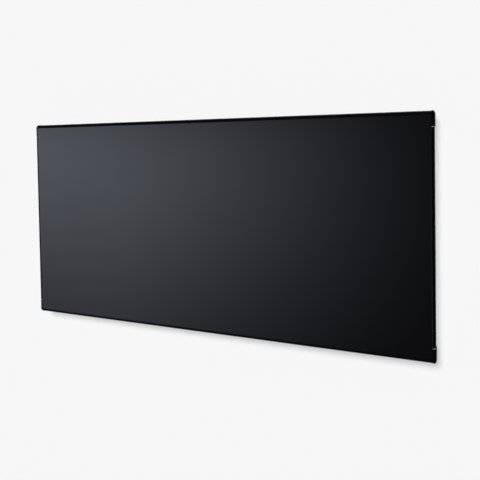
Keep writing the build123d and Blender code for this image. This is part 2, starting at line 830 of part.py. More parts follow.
with BuildPart() as junction_box:
    with BuildSketch(at_y(box_rim)):
        with Locations((box_x, box_z)):
            RectangleRounded(box_width, box_height, box_corner)
    extrude(amount=box_depth)
    with BuildSketch(at_y(box_rim)):
        with Locations((box_x, box_z)):
            RectangleRounded(box_width - 2 * box_wall, box_height - 2 * box_wall, box_corner - box_wall)
    extrude(amount=box_depth - box_wall, mode=Mode.SUBTRACT)
    # Corner posts, joined to the walls
    with BuildSketch(at_y(box_rim)):
        for x, z in post_places:
            with Locations((x, z)):
                Circle(post_radius)
            toward_x = 1 if x > box_x else -1
            toward_z = 1 if z > box_z else -1
            with Locations((x + toward_x * post_inset / 4, z + toward_z * post_inset / 4)):
                Rectangle(post_inset / 2 + post_radius, post_inset / 2 + post_radius)
        with Locations((box_x, box_z)):
            RectangleRounded(box_width, box_height, box_corner, mode=Mode.INTERSECT)
    extrude(amount=box_depth)
    with BuildSketch(at_y(box_rim)):
        with Locations(*post_places):
            Circle(lid_screw[2] + screw_fit)
    extrude(amount=lid_screw[3], mode=Mode.SUBTRACT)
    # Boss that the gland screws into
    with BuildSketch(Plane.XY.offset(box_bottom)):
        with Locations((box_x, gland_y)):
            Rectangle(2 * gland_thread + 2 * gland_boss_wall, box_depth - box_wall)
    extrude(amount=gland_inner)
    with BuildSketch(Plane.XY.offset(box_bottom)):
        with Locations((box_x, gland_y)):
            Circle(gland_thread + screw_fit)
    extrude(amount=gland_inner, mode=Mode.SUBTRACT)
    # Floor openings: leads, earth stud, fixing screws
    with BuildSketch(at_y(box_floor)):
        with Locations((grommet_x, grommet_z)):
            SlotOverall(grommet_length, grommet_width)
        with Locations((earth_x, earth_z)):
            Circle(stud_radius + screw_fit)
        with Locations(*box_fixings):
            Circle(box_screw[2] + screw_fit)
    extrude(amount=box_wall, mode=Mode.SUBTRACT)
junction_box.part.label = "junction_box"
export_step(junction_box.part, "parts/junction_box.step")

with BuildPart() as lid_seal:
    with BuildSketch(at_y(lid_front)):
        with Locations((box_x, box_z)):
            RectangleRounded(box_width, box_height, box_corner)
            RectangleRounded(
                box_width - 2 * seal_width,
                box_height - 2 * seal_width,
                box_corner - seal_width,
                mode=Mode.SUBTRACT,
            )
    extrude(amount=seal_gauge)
lid_seal.part.label = "lid_seal"
export_step(lid_seal.part, "parts/lid_seal.step")

with BuildPart() as junction_lid:
    with BuildSketch(at_y(lid_back)):
        with Locations((box_x, box_z)):
            RectangleRounded(box_width, box_height, box_corner)
    extrude(amount=lid_gauge)
    fillet(junction_lid.faces().sort_by(Axis.Y)[-1].edges(), lid_corner_round)
    with BuildSketch(at_y(lid_back)):
        with Locations(*post_places):
            Circle(lid_screw[2] + screw_fit)
    extrude(amount=lid_gauge, mode=Mode.SUBTRACT)
junction_lid.part.label = "junction_lid"
export_step(junction_lid.part, "parts/junction_lid.step")

with BuildPart() as lid_screws:
    with Locations(*[(x, lid_back, z) for x, z in post_places]):
        add(pan_screw(*lid_screw))
lid_screws.part.label = "lid_screws"
export_step(lid_screws.part, "parts/lid_screws.step")

with BuildPart() as box_screws:
    with Locations(*[(x, box_floor, z) for x, z in box_fixings]):
        add(pan_screw(*box_screw))
box_screws.part.label = "box_screws"
export_step(box_screws.part, "parts/box_screws.step")

with BuildPart() as lead_grommet:
    with BuildSketch(at_y(box_floor + grommet_lip)):
        with Locations((grommet_x, grommet_z)):
            SlotOverall(grommet_length + 2 * grommet_lip, grommet_width + 2 * grommet_lip)
    extrude(amount=grommet_lip)
    with BuildSketch(at_y(box_floor)):
        with Locations((grommet_x, grommet_z)):
            SlotOverall(grommet_length - 2 * slide_fit, grommet_width - 2 * slide_fit)
    extrude(amount=box_wall + cover_gauge)
    with BuildSketch(at_y(box_floor + grommet_lip)):
        with Locations((grommet_x, grommet_z)):
            SlotOverall(grommet_length - 2 * grommet_wall, grommet_width - 2 * grommet_wall)
    extrude(amount=box_wall + cover_gauge + grommet_lip, mode=Mode.SUBTRACT)
lead_grommet.part.label = "lead_grommet"
export_step(lead_grommet.part, "parts/lead_grommet.step")

# ---------------------------------------------------------------- terminal block

poles = {"live": box_x - pole_pitch, "neutral": box_x, "earth": box_x + pole_pitch}
block_back = box_floor + block_depth
screw_rows = [
    (x, box_z + z)
    for x in poles.values()
    for z in (-block_height / 2 + terminal_screw_inset, block_height / 2 - terminal_screw_inset)
]

with BuildPart() as terminal_block:
    with BuildSketch(at_y(block_back)):
        with Locations((box_x, box_z)):
            RectangleRounded(block_width, block_height, 1)
    extrude(amount=block_depth)
    with BuildSketch(Plane.XY.offset(box_z - block_height / 2)):
        with Locations(*[(x, lead_entry_y) for x in poles.values()]):
            Circle(barrel_radius + screw_fit)
    extrude(amount=block_height, mode=Mode.SUBTRACT)
    with BuildSketch(at_y(block_back)):
        with Locations(*screw_rows):
            Circle(terminal_screw_radius + screw_fit)
    extrude(amount=block_back - lead_entry_y, mode=Mode.SUBTRACT)
terminal_block.part.label = "terminal_block"
export_step(terminal_block.part, "parts/terminal_block.step")

with BuildPart() as terminal_barrels:
    with BuildSketch(Plane.XY.offset(box_z - block_height / 2 + slide_fit)):
        with Locations(*[(x, lead_entry_y) for x in poles.values()]):
            Circle(barrel_radius)
            Circle(barrel_bore, mode=Mode.SUBTRACT)
    extrude(amount=block_height - 2 * slide_fit)
terminal_barrels.part.label = "terminal_barrels"
export_step(terminal_barrels.part, "parts/terminal_barrels.step")

with BuildPart() as terminal_screws:
    screw_tip = lead_entry_y + barrel_radius + screw_fit
    with BuildSketch(at_y(block_back - slide_fit)):
        with Locations(*screw_rows):
            Circle(terminal_screw_radius)
    extrude(amount=block_back - slide_fit - screw_tip)
    with BuildSketch(at_y(block_back - slide_fit)):
        with Locations(*screw_rows):
            Rectangle(2 * terminal_screw_radius, 0.5)
    extrude(amount=0.6, mode=Mode.SUBTRACT)
terminal_screws.part.label = "terminal_screws"
export_step(terminal_screws.part, "parts/terminal_screws.step")

# ---------------------------------------------------------------- earth stud

eye_front = box_floor + earth_nut_height

with BuildPart() as earth_stud:
    with BuildSketch(at_y(box_floor + 2 * earth_nut_height + earth_eye_gauge + earth_stud_tip)):
        with Locations((earth_x, earth_z)):
            Circle(stud_radius)
    extrude(amount=box_wall + 2 * earth_nut_height + earth_eye_gauge + earth_stud_tip)
    chamfer(earth_stud.faces().sort_by(Axis.Y)[-1].edges(), 0.5)
earth_stud.part.label = "earth_stud"
export_step(earth_stud.part, "parts/earth_stud.step")

with BuildPart() as earth_nuts:
    for nut_back in (eye_front, eye_front + earth_eye_gauge + earth_nut_height):
        with BuildSketch(at_y(nut_back)):
            with Locations((earth_x, earth_z)):
                RegularPolygon(earth_nut_flats / 2, 6, major_radius=False)
                Circle(stud_radius + screw_fit, mode=Mode.SUBTRACT)
        extrude(amount=earth_nut_height)
earth_nuts.part.label = "earth_nuts"
export_step(earth_nuts.part, "parts/earth_nuts.step")

# ---------------------------------------------------------------- leads

live_lead = lead(
    [
        (poles["live"], lead_entry_y, block_top),
        (poles["live"], lead_entry_y, grommet_z),
        (poles["live"], lead_y, grommet_z),
        (poles["live"] - lead_run, lead_y, grommet_z),
        (cutout_x + lead_approach, lead_y, cutout_z),
        (cutout_x + (blade_pitch + blade_gauge) / 2, lead_y, cutout_z),
    ],
    lead_turn,
)
live_lead.label = "live_lead"
export_step(live_lead, "parts/live_lead.step")

link_lead = lead(
    [
        (cutout_x - (blade_pitch + blade_gauge) / 2, lead_y, cutout_z),
        (cutout_x - lead_loop, lead_y, cutout_z),
        (cutout_x - lead_loop, lead_y, -stud_z - lead_drop),
        (stud_x - lead_slant_start - lead_slant, lead_y, -stud_z - lead_drop),
        (stud_x - lead_slant_start, lead_y, -stud_z),
        (stud_x - stud_radius - slide_fit, lead_y, -stud_z),
    ],
    lead_turn,
)
link_lead.label = "link_lead"
export_step(link_lead, "parts/link_lead.step")

neutral_lead = lead(
    [
        (poles["neutral"], lead_entry_y, block_top),
        (poles["neutral"], lead_entry_y, grommet_z),
        (poles["neutral"], lead_y, grommet_z),
        (stud_x, lead_y, grommet_z),
        (stud_x, lead_y, stud_z - stud_radius - slide_fit),
    ],
    lead_turn,
)
neutral_lead.label = "neutral_lead"
export_step(neutral_lead, "parts/neutral_lead.step")

with BuildPart() as earth_lead:
    add(
        lead(
            [
                (poles["earth"], lead_entry_y, block_top),
                (poles["earth"], lead_entry_y, earth_z),
                (earth_x - earth_eye_radius + slide_fit, lead_entry_y, earth_z),
            ],
            lead_turn,
        )
    )
    # Eyelet between the two nuts
    with BuildSketch(at_y(eye_front + earth_eye_gauge)):
        with Locations((earth_x, earth_z)):
            Circle(earth_eye_radius)
    extrude(amount=earth_eye_gauge)
    with BuildSketch(at_y(eye_front + earth_eye_gauge)):
        with Locations((earth_x, earth_z)):
            Circle(stud_radius + screw_fit)
    extrude(amount=earth_eye_gauge, both=True, mode=Mode.SUBTRACT)
earth_lead.part.label = "earth_lead"
export_step(earth_lead.part, "parts/earth_lead.step")

with BuildPart() as lead_clips:
    # Adhesive saddles that hold the long lead to the board
    for z in row(clip_count, stud_z - grommet_z - 2 * clip_margin):
        with BuildSketch(Plane.XY.offset((stud_z + grommet_z - clip_height) / 2 + z)):
            with Locations((stud_x, board_back)):
                Rectangle(
                    clip_width,
                    slide_fit + 2 * lead_radius + slide_fit + clip_wall,
                    align=(Align.CENTER, Align.MIN),
                )
            with Locations((stud_x, board_back)):
                Rectangle(
                    2 * lead_radius + 2 * slide_fit,
                    2 * lead_radius + 2 * slide_fit,
                    align=(Align.CENTER, Align.MIN),
                    mode=Mode.SUBTRACT,
                )
        extrude(amount=clip_height)
lead_clips.part.label = "lead_clips"
export_step(lead_clips.part, "parts/lead_clips.step")

# ---------------------------------------------------------------- cable gland

with BuildPart() as gland_body:
    # Thread in the box, hexagon, and the neck that the nut clamps
    with BuildSketch(Plane.XY.offset(box_bottom - gland_hex - gland_neck)):
        with Locations((box_x, gland_y)):
            Circle(gland_thread)
    extrude(amount=gland_hex + gland_neck + gland_inner)
    with BuildSketch(Plane.XY.offset(box_bottom - gland_hex)):
        with Locations((box_x, gland_y)):
            RegularPolygon(gland_flats / 2, 6, major_radius=False)
    extrude(amount=gland_hex)
    with BuildSketch(Plane.XY.offset(box_bottom - gland_hex - gland_neck)):
        with Locations((box_x, gland_y)):
            Circle(gland_bore)
    extrude(amount=gland_hex + gland_neck + gland_inner, mode=Mode.SUBTRACT)
    # Seat of the seal
    with BuildSketch(Plane.XY.offset(box_bottom - gland_hex - gland_neck)):
        with Locations((box_x, gland_y)):
            Circle((gland_thread + gland_bore) / 2)
    extrude(amount=gland_seal_length + slide_fit, mode=Mode.SUBTRACT)
gland_body.part.label = "gland_body"
export_step(gland_body.part, "parts/gland_body.step")

with BuildPart() as gland_seal:
    with BuildSketch(Plane.XY.offset(box_bottom - gland_hex - gland_neck)):
        with Locations((box_x, gland_y)):
            Circle((gland_thread + gland_bore) / 2 - screw_fit)
            Circle(gland_bore, mode=Mode.SUBTRACT)
    extrude(amount=gland_seal_length)
gland_seal.part.label = "gland_seal"
export_step(gland_seal.part, "parts/gland_seal.step")

with BuildPart() as gland_nut:
    nut_top = box_bottom - gland_hex - gland_nut_gap
    with BuildSketch(Plane.XY.offset(nut_top - gland_nut_length)):
        with Locations((box_x, gland_y)):
            RegularPolygon(gland_nut_flats / 2, 6, major_radius=False)
    extrude(amount=gland_nut_length)
    chamfer(gland_nut.faces().sort_by(Axis.Z)[0].edges(), gland_nut_chamfer)
    with BuildSketch(Plane.XY.offset(nut_top - gland_nut_length)):
        with Locations((box_x, gland_y)):
            Circle(gland_bore)
    extrude(amount=gland_nut_length, mode=Mode.SUBTRACT)
    with BuildSketch(Plane.XY.offset(box_bottom - gland_hex - gland_neck - screw_fit)):
        with Locations((box_x, gland_y)):
            Circle(gland_thread + screw_fit)
    extrude(amount=gland_neck + gland_hex, mode=Mode.SUBTRACT)
gland_nut.part.label = "gland_nut"
export_step(gland_nut.part, "parts/gland_nut.step")
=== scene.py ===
import json
import math

import bpy
from mathutils import Matrix, Vector


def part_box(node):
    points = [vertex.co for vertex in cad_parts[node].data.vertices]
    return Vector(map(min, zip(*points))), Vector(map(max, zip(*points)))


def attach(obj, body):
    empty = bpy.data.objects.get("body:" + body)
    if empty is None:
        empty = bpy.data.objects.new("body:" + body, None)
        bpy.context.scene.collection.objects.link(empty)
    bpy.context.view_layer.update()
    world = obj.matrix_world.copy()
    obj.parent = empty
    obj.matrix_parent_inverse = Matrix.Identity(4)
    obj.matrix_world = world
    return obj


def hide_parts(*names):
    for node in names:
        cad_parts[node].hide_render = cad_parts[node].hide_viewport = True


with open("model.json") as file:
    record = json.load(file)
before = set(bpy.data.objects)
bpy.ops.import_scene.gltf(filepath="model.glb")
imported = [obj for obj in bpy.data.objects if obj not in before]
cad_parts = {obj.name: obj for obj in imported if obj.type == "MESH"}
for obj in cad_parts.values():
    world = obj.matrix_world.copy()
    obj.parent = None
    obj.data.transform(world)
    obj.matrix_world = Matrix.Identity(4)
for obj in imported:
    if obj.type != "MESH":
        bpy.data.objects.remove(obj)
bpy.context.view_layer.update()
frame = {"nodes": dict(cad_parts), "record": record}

nodes = frame["nodes"]
record = frame["record"]
slotColour = {m["slot"]: m["base_color"] for m in record["materials"]}
nodeSlot = {p["node"]: p["material_slot"] for p in record["subparts"]}
nodeBody = {n: body for body, group in record["behaviour"]["bodies"].items() for n in group}


# camera, as the photograph was taken: from the right, level with the panel's top
cameraSet = {
    "place": (0.6629, -1.3633, 0.2261),
    "lens": 39.927,  # mm
    "sensor": 36,  # mm wide
    "yaw": 22.890,  # degrees to the left
    "pitch": -1.595,
    "roll": -0.955,
    "shiftY": -0.1674,
    "near": 0.02,
    "far": 400,  # takes in the whole floor
}


def addCamera(s):
    yaw, pitch, roll = (math.radians(s[k]) for k in ("yaw", "pitch", "roll"))
    ahead = Vector((-math.sin(yaw) * math.cos(pitch), math.cos(yaw) * math.cos(pitch), math.sin(pitch)))
    right = Vector((math.cos(yaw), math.sin(yaw), 0))
    up = right.cross(ahead)
    tiltRight = math.cos(roll) * right + math.sin(roll) * up
    tiltUp = -math.sin(roll) * right + math.cos(roll) * up
    data = bpy.data.cameras.new("photoCamera")
    data.sensor_width = s["sensor"]
    data.lens = s["lens"]
    data.shift_y = s["shiftY"]
    data.clip_start, data.clip_end = s["near"], s["far"]
    cam = bpy.data.objects.new("photoCamera", data)
    bpy.context.scene.collection.objects.link(cam)
    turned = Matrix((tiltRight, tiltUp, -ahead)).transposed().to_4x4()
    cam.matrix_world = Matrix.Translation(s["place"]) @ turned
    bpy.context.scene.camera = cam


addCamera(cameraSet)
print("camera placed")


# small helpers for node trees
def put(tree, kind, **values):
    node = tree.nodes.new(kind)
    for key, value in values.items():
        if key.startswith("in_"):
            node.inputs[key[3:].replace("_", " ")].default_value = value
        else:
            setattr(node, key, value)
    return node


def join(tree, source, target):
    tree.links.new(source, target)


# a plain number is set on the socket, and a node's output is linked to it
def feed(tree, socket, value):
    if isinstance(value, (int, float)):
        socket.default_value = value
    else:
        join(tree, value, socket)


def calc(tree, operation, a, b, clamp=False):
    node = put(tree, "ShaderNodeMath", operation=operation, use_clamp=clamp)
    for socket, value in zip(node.inputs, (a, b)):
        feed(tree, socket, value)
    return node.outputs[0]


def mapped(tree, value, low, high, toLow=0.0, toHigh=1.0, smooth=True):
    node = put(tree, "ShaderNodeMapRange", interpolation_type="SMOOTHSTEP" if smooth else "LINEAR")
    labels = ("Value", "From Min", "From Max", "To Min", "To Max")
    for label, number in zip(labels, (value, low, high, toLow, toHigh)):
        feed(tree, node.inputs[label], number)
    return node.outputs[0]


def objectNoise(tree, scale, **values):
    place = put(tree, "ShaderNodeTexCoord")
    noise = put(tree, "ShaderNodeTexNoise", **values)
    join(tree, place.outputs["Object"], noise.inputs["Vector"])
    feed(tree, noise.inputs["Scale"], scale)
    return noise


def splitAxes(tree, vector):
    split = put(tree, "ShaderNodeSeparateXYZ")
    join(tree, vector, split.inputs[0])
    return split


def newGroup(name, ins, outs):
    group = bpy.data.node_groups.new(name, "ShaderNodeTree")
    for label, value in ins.items():
        socket = group.interface.new_socket(label, in_out="INPUT", socket_type="NodeSocketFloat")
        socket.default_value = value
    for label in outs:
        group.interface.new_socket(label, in_out="OUTPUT", socket_type="NodeSocketFloat")
    return group, group.nodes.new("NodeGroupInput"), group.nodes.new("NodeGroupOutput")


# grain: the fine relief of a coating or a moulding, and slow drifts of tone
def grainGroup():
    group, given, out = newGroup("grain", {"Scale": 900.0, "Drift": 6.0}, ("Height", "Tone"))
    fine = objectNoise(group, given.outputs["Scale"], in_Detail=3.0, in_Roughness=0.6)
    slow = objectNoise(group, given.outputs["Drift"], in_Detail=4.0, in_Roughness=0.55)
    join(group, fine.outputs[0], out.inputs["Height"])
    join(group, slow.outputs[0], out.inputs["Tone"])
    return group


# wear: a mask that is 1 along outward edges, broken up by noise
wearSet = {
    "radius": 0.0006,
    "break": 260.0,
    "turn": (0.995, 0.86),  # cosines of the turns at which an edge begins to wear, and is whole
    "patches": (0.42, 0.62),
}


def wearGroup(s):
    group, given, out = newGroup("edgeWear", {"Radius": s["radius"], "Break": s["break"]}, ("Mask",))
    soft = put(group, "ShaderNodeBevel", samples=4)
    join(group, given.outputs["Radius"], soft.inputs["Radius"])
    flat = put(group, "ShaderNodeNewGeometry")
    turn = put(group, "ShaderNodeVectorMath", operation="DOT_PRODUCT")
    join(group, soft.outputs["Normal"], turn.inputs[0])
    join(group, flat.outputs["Normal"], turn.inputs[1])
    edge = mapped(group, turn.outputs["Value"], *s["turn"])
    noise = objectNoise(group, given.outputs["Break"], in_Detail=3.0)
    patches = mapped(group, noise.outputs[0], *s["patches"])
    join(group, calc(group, "MULTIPLY", edge, patches, True), out.inputs["Mask"])
    return group


# dust: what settles on the faces that look up
dustSet = {
    "amount": 0.3,
    "patch": 40.0,
    "upward": (0.35, 1.0),
    "patches": (0.3, 0.7),
    "colour": (0.42, 0.41, 0.39),
}


def dustGroup(s):
    group, given, out = newGroup("dust", {"Amount": s["amount"], "Patch": s["patch"]}, ("Mask",))
    flat = put(group, "ShaderNodeNewGeometry")
    lying = mapped(group, splitAxes(group, flat.outputs["Normal"]).outputs["Z"], *s["upward"])
    noise = objectNoise(group, given.outputs["Patch"], in_Detail=5.0)
    patches = calc(group, "MULTIPLY", lying, mapped(group, noise.outputs[0], *s["patches"]))
    join(group, calc(group, "MULTIPLY", patches, given.outputs["Amount"], True), out.inputs["Mask"])
    return group


# spangle: the crystals of hot-dip zinc, and the smaller ones of a plated screw
spangleSet = {
    "scale": 90.0,
    "bendScale": 60.0,
    "bend": 0.01,  # how far the crystals' borders wander
}


def spangleGroup(s):
    group, given, out = newGroup("spangle", {"Scale": s["scale"]}, ("Tone", "Height"))
    bend = objectNoise(group, s["bendScale"], in_Detail=2.0)
    place = put(group, "ShaderNodeTexCoord")
    shift = put(group, "ShaderNodeVectorMath", operation="MULTIPLY_ADD")
    join(group, bend.outputs["Color"], shift.inputs[0])
    shift.inputs[1].default_value = (s["bend"],) * 3
    join(group, place.outputs["Object"], shift.inputs[2])
    cells = put(group, "ShaderNodeTexVoronoi", feature="F1")
    join(group, shift.outputs[0], cells.inputs["Vector"])
    join(group, given.outputs["Scale"], cells.inputs["Scale"])
    split = put(group, "ShaderNodeSeparateColor")
    join(group, cells.outputs["Color"], split.inputs[0])
    join(group, split.outputs[0], out.inputs["Tone"])
    join(group, cells.outputs["Distance"], out.inputs["Height"])
    return group


groups = {
    "grain": grainGroup(),
    "wear": wearGroup(wearSet),
    "dust": dustGroup(dustSet),
    "spangle": spangleGroup(spangleSet),
}
print("node groups made")


def useGroup(tree, name, **values):
    node = put(tree, "ShaderNodeGroup", node_tree=groups[name])
    for label, value in values.items():
        node.inputs[label].default_value = value
    return node


def blendColour(tree, mask, first, second):
    node = put(tree, "ShaderNodeMix", data_type="RGBA")
    join(tree, mask, node.inputs["Factor"])
    for socket, value in zip((node.inputs[6], node.inputs[7]), (first, second)):
        if isinstance(value, (tuple, list)):
            socket.default_value = (*value[:3], 1.0)
        else:
            join(tree, value, socket)
    return node.outputs[2]


def shade(colour, factor):
    return tuple(min(1.0, c * factor) for c in colour)


# a darker and a lighter shade of one colour, blended by a mask
def twoTone(tree, mask, colour, spread):
    return blendColour(tree, mask, shade(colour, 1 - spread), shade(colour, 1 + spread))


def newFinish(name):
    mat = bpy.data.materials.new(name)
    mat.use_nodes = True
    tree = mat.node_tree
    body = next(n for n in tree.nodes if n.type == "BSDF_PRINCIPLED")
    return mat, tree, body


def relief(tree, body, height, strength, depth):
    bump = put(tree, "ShaderNodeBump", in_Strength=strength, in_Distance=depth)
    join(tree, height, bump.inputs["Height"])
    join(tree, bump.outputs[0], body.inputs["Normal"])


# the stretches of the grain's two noises that tone, roughness and specks are read from
toneFrom = (0.3, 0.7)
roughFrom = (0.25, 0.75)
speckFrom = (0.60, 0.72)


# a painted, moulded or bare surface, with the numbers that tell one from another
def surface(name, colour, s):
    mat, tree, body = newFinish(name)
    grain = useGroup(tree, "grain", Scale=s["grain"], Drift=s["drift"])
    paint = twoTone(tree, mapped(tree, grain.outputs["Tone"], *toneFrom), colour, s["tone"])
    if "speck" in s:  # a scatter of lighter grains inside the material
        paint = blendColour(tree, mapped(tree, grain.outputs["Height"], *speckFrom), paint, s["speck"])
    if "wear" in s:
        worn = calc(tree, "MULTIPLY", useGroup(tree, "wear").outputs[0], s["wear"])
        paint = blendColour(tree, worn, paint, s["wearColour"])
    if "dust" in s:
        dust = useGroup(tree, "dust", Amount=s["dust"])
        paint = blendColour(tree, dust.outputs[0], paint, dustSet["colour"])
    join(tree, paint, body.inputs["Base Color"])
    join(tree, mapped(tree, grain.outputs["Tone"], *roughFrom, *s["rough"]), body.inputs["Roughness"])
    relief(tree, body, grain.outputs["Height"], s["strength"], s["depth"])
    body.inputs["Metallic"].default_value = s.get("metal", 0.0)
    body.inputs["Specular IOR Level"].default_value = s.get("gloss", 0.5)
    return mat


# what zinc has in common on a sheet and on a screw
zincSet = {
    "grain": 1400.0,
    "drift": 9.0,
    "dullFrom": (0.35, 0.75),
    "dullTone": 0.72,
    "dullRough": 0.1,
    "wear": 0.35,
    "wearTone": 1.3,
    "wearRadius": 0.0005,
    "crystalRelief": 0.6,
}


def zincSurface(name, colour, s):
    zinc = zincSet
    mat, tree, body = newFinish(name)
    spangle = useGroup(tree, "spangle", Scale=s["scale"])
    grain = useGroup(tree, "grain", Scale=zinc["grain"], Drift=zinc["drift"])
    tint = twoTone(tree, spangle.outputs["Tone"], colour, s["tone"])
    dull = mapped(tree, grain.outputs["Tone"], *zinc["dullFrom"])
    tint = blendColour(tree, calc(tree, "MULTIPLY", dull, s["dull"]), tint, shade(colour, zinc["dullTone"]))
    wear = useGroup(tree, "wear", Radius=zinc["wearRadius"])
    worn = calc(tree, "MULTIPLY", wear.outputs[0], zinc["wear"])
    tint = blendColour(tree, worn, tint, shade(colour, zinc["wearTone"]))
    join(tree, tint, body.inputs["Base Color"])
    rough = calc(tree, "ADD", mapped(tree, spangle.outputs["Tone"], 0.0, 1.0, *s["rough"], False),
                 calc(tree, "MULTIPLY", dull, zinc["dullRough"]))
    join(tree, rough, body.inputs["Roughness"])
    crystals = calc(tree, "MULTIPLY", spangle.outputs["Height"], zinc["crystalRelief"])
    height = calc(tree, "ADD", crystals, grain.outputs["Height"])
    relief(tree, body, height, s["strength"], s["depth"])
    body.inputs["Metallic"].default_value = 1.0
    return mat


# a sleeve with a second colour wound round it
def stripedSleeve(name, colour, s):
    mat, tree, body = newFinish(name)
    place = put(tree, "ShaderNodeTexCoord")
    band = put(tree, "ShaderNodeTexWave", wave_type="BANDS", bands_direction="DIAGONAL",
               in_Scale=s["bands"], in_Distortion=s["waver"])
    join(tree, place.outputs["Object"], band.inputs["Vector"])
    stripe = mapped(tree, band.outputs["Fac"], *s["stripeFrom"])
    join(tree, blendColour(tree, stripe, colour, s["stripe"]), body.inputs["Base Color"])
    grain = useGroup(tree, "grain", Scale=s["grain"], Drift=s["drift"])
    join(tree, mapped(tree, grain.outputs["Tone"], *roughFrom, *s["rough"]), body.inputs["Roughness"])
    relief(tree, body, grain.outputs["Height"], s["strength"], s["depth"])
    return mat


finishes = {}


def paintIt(slot, name, s, make=surface):
    finishes[slot] = make(name, slotColour[slot], s)


frontSet = {"grain": 620.0, "drift": 3.0, "tone": 0.10, "rough": (0.21, 0.25), "strength": 0.10,
            "depth": 0.00006}
paintIt("front_enamel", "satinEnamel", frontSet)
coatSet = {"grain": 1500.0, "drift": 8.0, "tone": 0.14, "rough": (0.56, 0.66), "strength": 0.25,
           "depth": 0.00008, "wear": 0.08, "wearColour": (0.012, 0.012, 0.013), "dust": 0.004, "gloss": 0.03}
paintIt("frame_coat", "railCoat", coatSet)
bracketSet = {"grain": 950.0, "drift": 10.0, "tone": 0.16, "rough": (0.55, 0.68), "strength": 0.5,
              "depth": 0.00016, "wear": 0.55, "wearColour": (0.22, 0.22, 0.23), "dust": 0.25}
paintIt("bracket_coat", "textureCoat", bracketSet)
capSet = {"grain": 1800.0, "drift": 12.0, "tone": 0.10, "rough": (0.52, 0.62), "strength": 0.35,
          "depth": 0.00007, "wear": 0.08, "wearColour": (0.012, 0.012, 0.013), "dust": 0.004, "gloss": 0.04}
paintIt("cap_plastic", "capMoulding", capSet)
boxSet = {"grain": 1400.0, "drift": 14.0, "tone": 0.12, "rough": (0.48, 0.60), "strength": 0.4,
          "depth": 0.00009, "wear": 0.2, "wearColour": (0.07, 0.07, 0.075), "dust": 0.3}
paintIt("box_plastic", "boxMoulding", boxSet)
blockSet = {"grain": 700.0, "drift": 20.0, "tone": 0.05, "rough": (0.38, 0.48), "strength": 0.2,
            "depth": 0.00006}
paintIt("block_plastic", "blockMoulding", blockSet)
rubberSet = {"grain": 1100.0, "drift": 25.0, "tone": 0.25, "rough": (0.72, 0.86), "strength": 0.4,
             "depth": 0.0001, "wear": 0.3, "wearColour": (0.08, 0.08, 0.078), "dust": 0.3}
paintIt("rubber", "padRubber", rubberSet)
phenolicSet = {"grain": 1600.0, "drift": 60.0, "tone": 0.2, "rough": (0.34, 0.46), "strength": 0.25,
               "depth": 0.00008, "speck": (0.16, 0.12, 0.08)}
paintIt("phenolic", "phenolicMoulding", phenolicSet)
castSet = {"grain": 1300.0, "drift": 40.0, "tone": 0.08, "rough": (0.45, 0.6), "strength": 0.4,
           "depth": 0.0001, "metal": 0.45}
paintIt("bare_aluminium", "castAluminium", castSet)
rivetSet = {"grain": 900.0, "drift": 80.0, "tone": 0.07, "rough": (0.28, 0.4), "strength": 0.2,
            "depth": 0.00006, "metal": 1.0, "wear": 0.3, "wearColour": (0.9, 0.9, 0.92)}
paintIt("rivet_aluminium", "rivetMetal", rivetSet)
brassSet = {"grain": 1000.0, "drift": 90.0, "tone": 0.14, "rough": (0.26, 0.42), "strength": 0.2,
            "depth": 0.00006, "metal": 1.0}
paintIt("brass", "plainBrass", brassSet)
foilSet = {"grain": 2200.0, "drift": 30.0, "tone": 0.1, "rough": (0.3, 0.42), "strength": 0.3,
           "depth": 0.00005, "metal": 1.0}
paintIt("element_foil", "etchedFoil", foilSet)
crinkleSet = {"grain": 130.0, "drift": 18.0, "tone": 0.04, "rough": (0.14, 0.26), "strength": 0.6,
              "depth": 0.0004, "metal": 1.0}
paintIt("reflector", "crinkledFoil", crinkleSet)
filmSet = {"grain": 300.0, "drift": 14.0, "tone": 0.08, "rough": (0.16, 0.28), "strength": 0.15,
           "depth": 0.0001}
paintIt("film", "amberFilm", filmSet)
woolSet = {"grain": 420.0, "drift": 30.0, "tone": 0.22, "rough": (0.85, 0.97), "strength": 0.9,
           "depth": 0.0006, "speck": (0.8, 0.74, 0.5), "gloss": 0.2}
paintIt("wool", "pressedWool", woolSet)
sleeveSet = {"grain": 500.0, "drift": 50.0, "tone": 0.08, "rough": (0.26, 0.36), "strength": 0.15,
             "depth": 0.00005}
paintIt("brown_insulation", "brownSleeve", sleeveSet)
paintIt("blue_insulation", "blueSleeve", sleeveSet)
earthSet = {"grain": 500.0, "drift": 50.0, "rough": (0.26, 0.36), "strength": 0.15, "depth": 0.00005,
            "stripe": (0.78, 0.62, 0.03), "bands": 150.0, "waver": 1.5, "stripeFrom": (0.48, 0.56)}
paintIt("earth_insulation", "stripedSleeve", earthSet, stripedSleeve)
sheetSet = {"scale": 130.0, "tone": 0.10, "dull": 0.25, "rough": (0.30, 0.46), "strength": 0.25,
            "depth": 0.00012}
paintIt("galvanised", "galvanisedSheet", sheetSet, zincSurface)
platedSet = {"scale": 900.0, "tone": 0.08, "dull": 0.2, "rough": (0.2, 0.32), "strength": 0.15,
             "depth": 0.00004}
paintIt("zinc_screw", "platedScrew", platedSet, zincSurface)

for name, node in nodes.items():
    if not node.material_slots:
        node.data.materials.append(None)
    for place in node.material_slots:
        place.material = finishes[nodeSlot[name]]
print("finishes given to", len(nodes), "nodes")


# modelling helpers
levelWithin = 0.00001  # a point this near to a level lies on it
flatWithin = 0.0001  # an edge that changes depth by less runs across the panel
mergeWithin = 0.000004
pastEnd = 0.001  # how far a cutting tool stands out of what it cuts
flatBelow = 0.4  # degrees: neighbours that turn less become one face
smoothBelow = 32  # degrees: edges that turn less are shaded smooth


def deselectAll():
    if bpy.context.mode != "OBJECT":
        bpy.ops.object.mode_set(mode="OBJECT")
    bpy.ops.object.select_all(action="DESELECT")


def makeActive(obj):
    deselectAll()
    obj.select_set(True)
    bpy.context.view_layer.objects.active = obj


